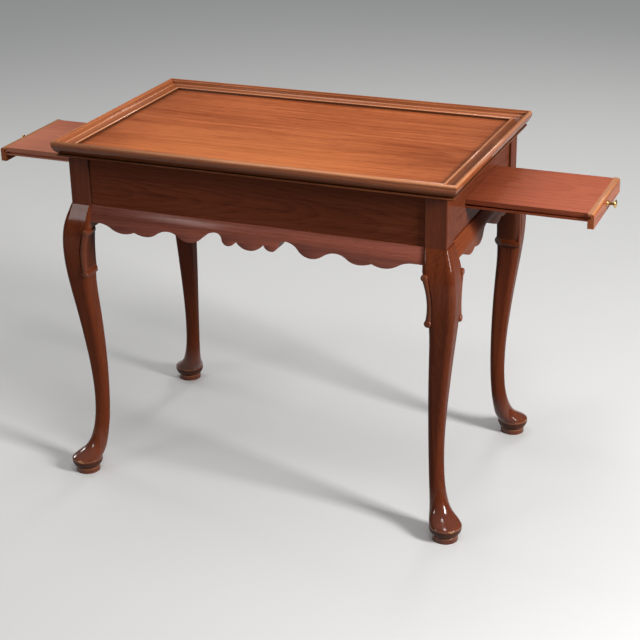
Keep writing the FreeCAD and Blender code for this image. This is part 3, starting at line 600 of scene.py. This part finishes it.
class TEATABLE_OT_legs(bpy.types.Operator):
    """Dress the cabriole legs and their scroll brackets"""

    bl_idname = "tea_table.legs"
    bl_label = "Legs and scrolls"

    def execute(self, context):
        colours = context.scene.tea_table_colours
        sizes = context.scene.tea_table_sizes
        leg = self.leg_finish(colours)
        scroll = self.scroll_finish(colours)
        for corner in CORNERS:
            dress(f"leg_{corner}", leg)
            for name in (f"long_scroll_{corner}", f"end_scroll_{corner}"):
                dress(name, scroll)
                soften(name, sizes.scroll_arris)
                self.carve_bead(name, sizes, scroll)
        return {"FINISHED"}

    def leg_finish(self, colours):
        """Wood with painted shade under the pads and on the posts' inner faces beside the rails,
        wear and a pale line that is partly painted highlight on the edge of the pads, and a painted
        highlight on the edge of the discs.
        """
        leg = Timber("leg_wood", colours.leg_dark, colours.leg_light, "Z", (0.315, 0.165),
                     ring=0.0035, flame=0.012, figure=0.16, mirrored=True)
        x, y, z = leg.axes()
        pad_edge = abs(z - PAD_EDGE)
        worn = leg.chips(pad_edge, PAD_WEAR)
        bowl = z.rise(*BOWL_FOOT) * (1 - z.rise(*BOWL_TOP))
        groove = 1 - abs(z - DISC_GROOVE).rise(*GROOVE_LINE)
        line = (1 - pad_edge.rise(*PAD_LINE)).most(groove)
        return_gap = (abs(x) - POST_RETURN[0]).least(abs(y) - POST_RETURN[1])
        return_shade = (1 - return_gap.rise(*RETURN_SHADE_LINE)) * z.rise(*RETURN_SHADE_FOOT)
        # Painted shade in the bowl under each pad and on the posts' inner faces
        leg.stain((bowl * 0.65).most(return_shade * 0.8), colours.grime_and_shade)
        # Wear along the pad's edge, a pale line there that is partly wear and partly painted
        # highlight, and a painted highlight on the disc's edge
        leg.stain((worn * 0.7).most(line * 0.22), colours.bare_wood_and_highlight)
        return leg.varnish(gloss=0.26, coat=self.leg_coat(y, z) - bowl * 0.5, coat_roughness=0.12,
                           dull=bowl * 0.2 + worn * 0.25)

    def leg_coat(self, y, z):
        """Polish that is thickest on the feet and thinnest on the ends of the posts."""
        post = z.rise(*POST_FOOT)
        long_face = abs(y).rise(*POST_LONG_FACE) * post
        knee = z.rise(*KNEE_FOOT) * (1 - post)
        foot = 1 - z.rise(*FOOT_TOP)
        return 0.12 - post * 0.06 + long_face * 0.20 + knee * 0.13 + foot * 0.80

    def scroll_finish(self, colours):
        """Wood with painted shade in the hollow behind a scroll's face, and wear and a painted
        highlight on what stands out.
        """
        scroll = Timber("scroll_wood", colours.leg_dark, colours.leg_light, "Z", (0.30, 0.15),
                        ring=0.0035, flame=0.015, figure=0.16, mirrored=True)
        x, y, z = scroll.axes()
        low, high = side_box("long_scroll_front_right")
        end_face = side_box("end_scroll_front_right")[1][0]
        inward = (high[1] - abs(y)).least(end_face - abs(x))
        between = (z - low[2]).rise(*HOLLOW_FOOT) * (high[2] - z).rise(*HOLLOW_TOP)
        hollow = inward.rise(*HOLLOW_DEPTH) * between
        # Painted shade on the side faces behind the scroll's front
        scroll.stain(hollow * 0.55, colours.grime_and_shade)
        raised = (1 - inward.rise(*RAISED_FACE)) * scroll.cloud.rise(0.3, 0.7)
        # Wear and a painted highlight on the bead and bosses
        scroll.stain(raised * 0.08, colours.bare_wood_and_highlight)
        return scroll.varnish(gloss=0.30, coat=0.35 - hollow * 0.3, coat_roughness=0.06)

    def carve_bead(self, name, sizes, material):
        """A bead round the front of a scroll, with a boss on the end of each roll."""
        low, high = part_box(name)
        across, outward = (0, 1) if name.startswith("long") else (1, 0)
        right, front = (-1 if low[axis] < 0 else 1 for axis in (across, outward))
        upper, lower = sizes.upper_roll, sizes.lower_roll
        rolls = ((upper, upper, high[2] - upper),
                 (lower, lower + sizes.lower_roll_setback, low[2] + lower))
        shape = bmesh.new()
        for radius, out, level in rolls:
            self.add_boss(shape, radius, sizes.boss_relief, (out, 0.0, level))
        (_, top_out, top), (_, foot_out, foot) = rolls
        steps = [step / BAND_STEPS for step in range(BAND_STEPS + 1)]
        route = [(top_out + (foot_out - top_out) * step + sizes.band_bow * 4 * step * (1 - step),
                  top + (foot - top) * step) for step in steps]
        self.add_band(shape, route, sizes)
        to_leg, inward, place = Vector(), Vector(), Vector()
        to_leg[across] = right
        inward[outward] = -front
        place[across] = right * min(abs(low[across]), abs(high[across]))
        place[outward] = front * max(abs(low[outward]), abs(high[outward]))
        turn = Matrix((to_leg, inward, (0.0, 0.0, 1.0))).transposed().to_4x4()
        turn.translation = place
        bmesh.ops.transform(shape, matrix=turn, verts=shape.verts)
        bmesh.ops.recalc_face_normals(shape, faces=shape.faces)
        bead = new_piece(name.replace("scroll", "scroll_bead"), shape, material, "table",
                         "leg_wood")
        bead.data.shade_smooth()

    def add_boss(self, shape, radius, relief, place):
        """A round-edged disc, half of it sunk in the end of a roll."""
        made = bmesh.ops.create_cone(
            shape, cap_ends=True, segments=32, radius1=radius, radius2=radius, depth=relief * 2,
            matrix=Matrix.Translation(place) @ Matrix.Rotation(math.pi / 2, 4, "X"))
        rims = {edge for vert in made["verts"] for edge in vert.link_edges
                if abs(edge.verts[0].co.y - edge.verts[1].co.y) < relief}
        bmesh.ops.bevel(shape, geom=list(rims), offset=relief * 0.85, offset_type="OFFSET",
                        affect="EDGES", segments=5, profile=0.5, material=-1)

    def add_band(self, shape, route, sizes):
        """A flattened round band along a smooth route."""
        line = bpy.data.curves.new("band", "CURVE")
        line.dimensions = "3D"
        line.bevel_depth = sizes.bead_width / 2
        line.bevel_resolution = 4
        line.resolution_u = 12
        spline = line.splines.new("NURBS")
        spline.points.add(len(route) - 1)
        for point, (out, level) in zip(spline.points, route):
            point.co = (out, 0.0, level, 1.0)
        spline.order_u = 4
        spline.use_endpoint_u = True
        holder = bpy.data.objects.new("band", line)
        mesh = bpy.data.meshes.new_from_object(holder)
        flatness = sizes.bead_relief * 2 / sizes.bead_width
        mesh.transform(Matrix.Diagonal((1.0, flatness, 1.0, 1.0)))
        shape.from_mesh(mesh)
        bpy.data.meshes.remove(mesh)
        bpy.data.objects.remove(holder)
        bpy.data.curves.remove(line)


# Where the shade of the top fades on a slide, outwards from the middle of the table
SLIDE_SHADE = (0.39, 0.50)

# Where the faded left slide gives way to the right one, to the right of the middle
FADED_LEFT = (-0.02, 0.02)

# Where the dark edge of a slide fades, in from its long edge
SLIDE_EDGE = (0.0002, 0.0010)

# Where the painted light on the crest of a lip starts and where it is full, up from the top of the
# lip
LIP_CREST = (-0.0030, -0.0006)


class TEATABLE_OT_slides(bpy.types.Operator):
    """Dress the slide boards and their lips"""

    bl_idname = "tea_table.slides"
    bl_label = "Candle slides"

    def execute(self, context):
        colours = context.scene.tea_table_colours
        sizes = context.scene.tea_table_sizes
        finishes = {"board": self.board_finish(colours), "lip": self.lip_finish(colours)}
        for side in END_SIDES:
            for part, material in finishes.items():
                dress(f"slide_{side}_{part}", material)
                soften(f"slide_{side}_{part}", sizes.board_arris)
        return {"FINISHED"}

    def board_finish(self, colours):
        """Wood that is dark near the table and along its edges, and faded on the left slide."""
        board = Timber("slide_wood", colours.slide_dark, colours.slide_light, "X", (0.02, 0.49),
                       ring=0.006, flame=0.03, figure=0.35)
        low, high = side_box("slide_right_board")
        worn = board.chips(board.edge_distance(low, high), SLIDE_WEAR)
        x, y, _ = board.axes()
        edge = 1 - (high[1] - abs(y)).rise(*SLIDE_EDGE)
        shaded = 1 - abs(x).rise(*SLIDE_SHADE)
        # Painted shade of the top near the table, and darker along the long edges
        board.stain((shaded * 0.35).most(edge * 0.45), colours.grime_and_shade)
        left = 1 - x.rise(*FADED_LEFT)
        board.stain(left * board.patchy(0.30, 0.4), colours.faded_wood)
        board.stain(worn * 0.5, colours.bare_wood_and_highlight)
        return board.varnish(gloss=0.32, coat=0.12, coat_roughness=0.18, dull=worn * 0.2)

    def lip_finish(self, colours):
        """Cross-grained wood with painted light along its top and worn edges."""
        lip = Timber("lip_wood", colours.lip_dark, colours.lip_light, "Y", (0.50, 0.57),
                     ring=0.004, flame=0.02, figure=0.5)
        low, high = side_box("slide_right_lip")
        worn = lip.chips(lip.edge_distance(low, high), LIP_WEAR)
        _, _, z = lip.axes()
        crest = (z - high[2]).rise(*LIP_CREST)
        # Painted light along the top of the lip, and wear on its edges
        lip.stain(crest.most(worn) * 0.6, colours.bare_wood_and_highlight)
        return lip.varnish(gloss=0.28, coat=0.3, coat_roughness=0.12, dull=worn * 0.25)


# Where the tarnish of a pull fades, out from its axis and out from the inner end of its knob
BRASS_HOLLOW = (0.0030, 0.0062)
BRASS_INNER = (0.012, 0.017)


class TEATABLE_OT_pulls(bpy.types.Operator):
    """Turn the two brass pulls of the slides"""

    bl_idname = "tea_table.pulls"
    bl_label = "Brass pulls"

    def execute(self, context):
        colours = context.scene.tea_table_colours
        sizes = context.scene.tea_table_sizes
        brass = self.brass_finish(colours)
        for side, facing in (("right", 0.0), ("left", math.pi)):
            low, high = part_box(f"slide_{side}_knob")
            lip_low, lip_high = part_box(f"slide_{side}_lip")
            lip_face = lip_high[0] if side == "right" else lip_low[0]
            seat = Vector((lip_face, (low[1] + high[1]) / 2, (low[2] + high[2]) / 2))
            shape = self.turning(sizes)
            turn = Matrix.Translation(seat) @ Matrix.Rotation(facing, 4, "Z")
            bmesh.ops.transform(shape, matrix=turn, verts=shape.verts)
            pull = new_piece(f"slide_{side}_pull", shape, brass, f"slide_{side}", "brass",
                             f"slide_{side}_knob")
            pull.data.shade_smooth()
            rounded = pull.modifiers.new("Rounded", "SUBSURF")
            rounded.levels = rounded.render_levels = 2
        return {"FINISHED"}

    def turning(self, sizes):
        """A pull at the origin that stands out along X."""
        sink, flange, neck = sizes.pull_sink, sizes.pull_flange, sizes.pull_neck
        head, reach = sizes.pull_head, sizes.pull_reach
        profile = [
            (-sink, 0.0), (-sink, flange * 0.6), (0.0, flange * 0.96), (0.0006, flange),
            (0.0012, flange * 0.96), (0.0016, flange * 0.80), (0.0022, flange * 0.74),
            (0.0030, neck * 1.30), (0.0050, neck), (reach * 0.52, neck),
            (reach * 0.60, neck * 1.15), (reach * 0.64, neck * 1.55), (reach * 0.67, neck * 1.55),
            (reach * 0.70, neck * 1.30), (reach * 0.74, head * 0.70), (reach * 0.78, head * 0.97),
            (reach * 0.82, head), (reach * 0.87, head * 0.96), (reach * 0.93, head * 0.76),
            (reach * 0.98, head * 0.38), (reach, 0.0),
        ]
        shape = bmesh.new()
        points = [shape.verts.new((out, radius, 0.0)) for out, radius in profile]
        edges = [shape.edges.new(pair) for pair in zip(points, points[1:])]
        bmesh.ops.spin(shape, geom=points + edges, cent=(0.0, 0.0, 0.0), axis=(1.0, 0.0, 0.0),
                       angle=math.tau, steps=24, use_merge=True)
        bmesh.ops.remove_doubles(shape, verts=shape.verts, dist=0.000001)
        bmesh.ops.recalc_face_normals(shape, faces=shape.faces)
        return shape

    def brass_finish(self, colours):
        """Turned brass that is tarnished round its neck."""
        finish = new_finish("handled_brass")
        x, y, z = finish.axes()
        low, high = side_box("slide_right_knob")
        middle = (low[2] + high[2]) / 2
        radius = (y ** 2 + (z - middle) ** 2).root()
        hollow = 1 - radius.rise(*BRASS_HOLLOW)
        inner = 1 - (abs(x) - low[0]).rise(*BRASS_INNER)
        cloud = finish.noise(finish.vector(x, y, z), (260.0, 260.0, 260.0), 4.0, 0.6)
        turned = finish.noise(finish.vector(abs(x), radius, 0.0), (5200.0, 5200.0, 1.0), 1.0)
        tarnish = (hollow * inner * 0.9 + (cloud - 0.5) * 0.7).rise(0.05, 0.85)
        finish.shader(
            Base_Color=finish.blend(tarnish, colours.brass, colours.brass_dull),
            Metallic=1.0,
            Roughness=0.24 + tarnish * 0.30 + (cloud - 0.5) * 0.14,
            Normal=finish.bump(turned, 0.10, 0.0001),
        )
        return finish.block


class TEATABLE_OT_inner_rails(bpy.types.Operator):
    """Dress the runners, the centre stop, the corner blocks and the stop pins"""

    bl_idname = "tea_table.inner_rails"
    bl_label = "Runners and blocks"

    def execute(self, context):
        sizes = context.scene.tea_table_sizes
        groups = {
            "X": ["slide_runner_front", "slide_runner_back"],
            "Y": ["slide_centre_stop"],
            "Z": ([f"corner_block_{corner}" for corner in CORNERS]
                  + [f"slide_{side}_stop_pins" for side in END_SIDES]),
        }
        for along, names in groups.items():
            material = self.sawn_wood(context.scene.tea_table_colours, along)
            for name in names:
                dress(name, material)
                soften(name, sizes.rough_arris)
        return {"FINISHED"}

    def sawn_wood(self, colours, along):
        """Pale wood straight from the plane, with no varnish on it."""
        rail = Timber(f"inner_wood_{along.lower()}", colours.inner_dark, colours.inner_light,
                      along, (0.07, 0.57), ring=0.0045, flame=0.03, figure=0.8, mirrored=True)
        rail.stain((rail.cloud - 0.35) * 0.5, colours.grime_and_shade)
        rail.shader(
            Base_Color=rail.wood,
            Roughness=0.62 + (rail.fibre - 0.5) * 0.2 + rail.pore * 0.1,
            Normal=rail.bump(rail.fibre - rail.pore * 0.6, 0.3, 0.0004),
            Specular_IOR_Level=0.25,
        )
        return rail.block


# How far each screw's slot is turned on from the one before, in radians
SLOT_TURN = 0.9


class TEATABLE_OT_screws(bpy.types.Operator):
    """Make the slotted screws that hold the top down"""

    bl_idname = "tea_table.screws"
    bl_label = "Top screws"

    def execute(self, context):
        sizes = context.scene.tea_table_sizes
        low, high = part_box("top_screws")
        seat = low[2] + sizes.screw_head_height
        shape = self.one_screw(sizes, high[2] - seat)
        pattern = everything_in(shape)
        for index, (x, y) in enumerate(self.places(sizes)):
            copy = bmesh.ops.duplicate(shape, geom=pattern)["geom"]
            turn = Matrix.Translation((x, y, seat)) @ Matrix.Rotation(index * SLOT_TURN, 4, "Z")
            bmesh.ops.transform(shape, matrix=turn, verts=corners_of(copy))
        bmesh.ops.delete(shape, geom=corners_of(pattern))
        new_piece("slotted_screws", shape, self.steel_finish(context.scene.tea_table_colours),
                  "table", "screw_steel", "top_screws")
        return {"FINISHED"}

    def places(self, sizes):
        """Two screws to a corner block, beside the long rail and beside the end rail."""
        for corner in CORNERS:
            low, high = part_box(f"corner_block_{corner}")
            right, back = "right" in corner, "back" in corner
            rail_x, end_x = (high[0], low[0]) if right else (low[0], high[0])
            rail_y, end_y = (high[1], low[1]) if back else (low[1], high[1])
            to_x, to_y = (-1 if right else 1), (-1 if back else 1)
            yield end_x - to_x * sizes.screw_from_end, rail_y + to_y * sizes.screw_from_rail
            yield rail_x + to_x * sizes.screw_from_rail, end_y - to_y * sizes.screw_from_end

    def one_screw(self, sizes, shank):
        """A slotted screw whose head hangs below the origin."""
        slot = sizes.screw_slot / 2
        shape = bmesh.new()
        bmesh.ops.create_cone(
            shape, cap_ends=True, segments=32, radius1=sizes.screw_head, radius2=sizes.screw_head,
            depth=sizes.screw_head_height,
            matrix=Matrix.Translation((0.0, 0.0, -sizes.screw_head_height / 2)))
        shape.normal_update()
        foot = min(shape.faces, key=lambda face: face.normal.z)
        bmesh.ops.bevel(shape, geom=foot.edges[:], offset=sizes.screw_head_height * 0.4,
                        offset_type="OFFSET", affect="EDGES", segments=4, profile=0.5, material=-1)
        for side in (-1, 1):
            bmesh.ops.bisect_plane(shape, geom=everything_in(shape), dist=0.0000001,
                                   plane_co=(0.0, slot * side, 0.0), plane_no=(0.0, 1.0, 0.0))
        shape.normal_update()
        strip = [face for face in shape.faces
                 if face.normal.z < -0.99 and abs(face.calc_center_median().y) < slot * 0.9]
        pushed = bmesh.ops.extrude_face_region(shape, geom=strip)["geom"]
        bmesh.ops.translate(shape, vec=(0.0, 0.0, sizes.screw_slot_depth),
                            verts=corners_of(pushed))
        bmesh.ops.delete(shape, geom=[face for face in strip if face.is_valid], context="FACES")
        bmesh.ops.create_cone(
            shape, cap_ends=True, segments=16, radius1=sizes.screw_shank,
            radius2=sizes.screw_shank * 0.6, depth=shank,
            matrix=Matrix.Translation((0.0, 0.0, shank / 2)))
        return shape

    def steel_finish(self, colours):
        """Steel with oxide in patches."""
        finish = new_finish("screw_steel")
        place = finish.vector(*finish.axes())
        cloud = finish.noise(place, (420.0, 420.0, 420.0), 4.0, 0.6)
        rust = cloud.rise(0.42, 0.66)
        finish.shader(
            Base_Color=finish.blend(rust, colours.steel, colours.steel_dull),
            Metallic=1 - rust * 0.6,
            Roughness=0.36 + rust * 0.3,
            Normal=finish.bump(cloud, 0.12, 0.0002),
        )
        return finish.block


# Width, height and place of each lamp, and the point that all of them face
LAMPS = {
    "side": (0.6, 1.2, (2.85, -0.72, 1.75)),
    "top": (1.2, 0.9, (-0.8, 0.55, 3.1)),
    "back": (0.7, 0.7, (0.1, 2.6, 2.25)),
    "front": (0.9, 0.4, (-1.9, -2.5, 1.33)),
    "high": (0.5, 0.5, (0.60, -1.0, 2.90)),
    "left": (0.4, 0.4, (-3.05, 0.75, 0.94)),
}
LAMP_AIM = Vector((0.0, 0.0, 0.45))

# How high the sky is fully bright, where 1 is straight up
SKY_TOP = 0.95


class TEATABLE_OT_stage(bpy.types.Operator):
    """Lay the floor, hang the lamps and set up the camera"""

    bl_idname = "tea_table.stage"
    bl_label = "Stage"

    def execute(self, context):
        stage = context.scene.tea_table_stage
        context.scene.view_settings.view_transform = "Standard"
        self.lay_floor(context, stage)
        self.light_sky(context, stage)
        for name, (width, height, place) in LAMPS.items():
            watts = getattr(stage, f"{name}_power")
            self.hang_lamp(context, f"{name}_lamp", watts, width, height, place)
        self.place_camera(context, stage)
        return {"FINISHED"}

    def lay_floor(self, context, stage):
        finish = new_finish("pale_floor")
        rays = finish.node("ShaderNodeLightPath")
        seen = (rays.output("Is Camera Ray").most(rays.output("Is Glossy Ray"))
                .most(rays.output("Is Transmission Ray")))
        place = finish.vector(*finish.axes())
        cloud = finish.noise(place, (1.1, 1.1, 1.1), 4.0)
        pale = finish.blend(cloud, [value * 0.96 for value in stage.floor_pale], stage.floor_pale)
        finish.shader(
            Base_Color=finish.blend(seen, stage.floor_bounce, pale),
            Roughness=0.9,
            Specular_IOR_Level=0.0,
        )
        shape = bmesh.new()
        bmesh.ops.create_grid(shape, x_segments=1, y_segments=1, size=stage.floor_half)
        mesh = bpy.data.meshes.new("floor")
        shape.to_mesh(mesh)
        shape.free()
        mesh.materials.append(finish.block)
        floor = bpy.data.objects.new("floor", mesh)
        context.scene.collection.objects.link(floor)

    def light_sky(self, context, stage):
        world = bpy.data.worlds.new("studio")
        context.scene.world = world
        finish = Finish(world)
        way = finish.node("ShaderNodeTexCoord", output="Generated")
        height = finish.node("ShaderNodeSeparateXYZ", None, {0: way}, output="Z")
        shade = finish.blend(height.rise(0.0, SKY_TOP), stage.sky_low, stage.sky_high)
        finish.feed(finish.tree.nodes["Background"].inputs["Color"], shade)

    def hang_lamp(self, context, name, watts, width, height, place):
        lamp = bpy.data.lights.new(name, "AREA")
        lamp.energy = watts
        lamp.shape = "RECTANGLE"
        lamp.size = width
        lamp.size_y = height
        hung = bpy.data.objects.new(name, lamp)
        hung.location = place
        aim = LAMP_AIM - hung.location
        hung.rotation_euler = aim.to_track_quat("-Z", "Y").to_euler()
        context.scene.collection.objects.link(hung)

    def place_camera(self, context, stage):
        turn, rise = stage.camera_turn, stage.camera_rise
        back = Vector((math.sin(turn) * math.cos(rise), -math.cos(turn) * math.cos(rise),
                       math.sin(rise)))
        view = back.to_track_quat("Z", "Y").to_matrix().to_4x4()
        camera = bpy.data.objects.new("camera", bpy.data.cameras.new("camera"))
        camera.data.lens = stage.lens
        camera.matrix_world = (Matrix.Translation(stage.camera_place) @ view
                               @ Matrix.Rotation(stage.camera_roll, 4, "Z"))
        context.scene.collection.objects.link(camera)
        context.scene.camera = camera


class TEATABLE_PT_maker(bpy.types.Panel):
    """Lists the pieces of the tea table"""

    bl_label = "Tea table"
    bl_space_type = "VIEW_3D"
    bl_region_type = "UI"
    bl_category = "Tea table"

    def draw(self, context):
        for operator in OPERATORS:
            self.layout.operator(operator.bl_idname)
        for group_name in GROUPS:
            group = getattr(context.scene, group_name)
            box = self.layout.box()
            for name in group.__annotations__:
                box.prop(group, name)


OPERATORS = (TEATABLE_OT_tray, TEATABLE_OT_rails, TEATABLE_OT_legs, TEATABLE_OT_slides,
             TEATABLE_OT_pulls, TEATABLE_OT_inner_rails, TEATABLE_OT_screws, TEATABLE_OT_stage)
GROUPS = {"tea_table_sizes": TeaTableSizes, "tea_table_colours": TeaTableColours,
          "tea_table_stage": TeaTableStage}


def register():
    for kind in (*GROUPS.values(), *OPERATORS, TEATABLE_PT_maker):
        bpy.utils.register_class(kind)
    for name, group in GROUPS.items():
        setattr(bpy.types.Scene, name, bpy.props.PointerProperty(type=group))


def unregister():
    for name in GROUPS:
        delattr(bpy.types.Scene, name)
    for kind in (TEATABLE_PT_maker, *reversed(OPERATORS), *GROUPS.values()):
        bpy.utils.unregister_class(kind)


def main():
    register()
    bpy.ops.tea_table.tray()
    bpy.ops.tea_table.rails()
    bpy.ops.tea_table.legs()
    bpy.ops.tea_table.slides()
    bpy.ops.tea_table.pulls()
    bpy.ops.tea_table.inner_rails()
    bpy.ops.tea_table.screws()
    bpy.ops.tea_table.stage()


if __name__ == "__main__":
    main()
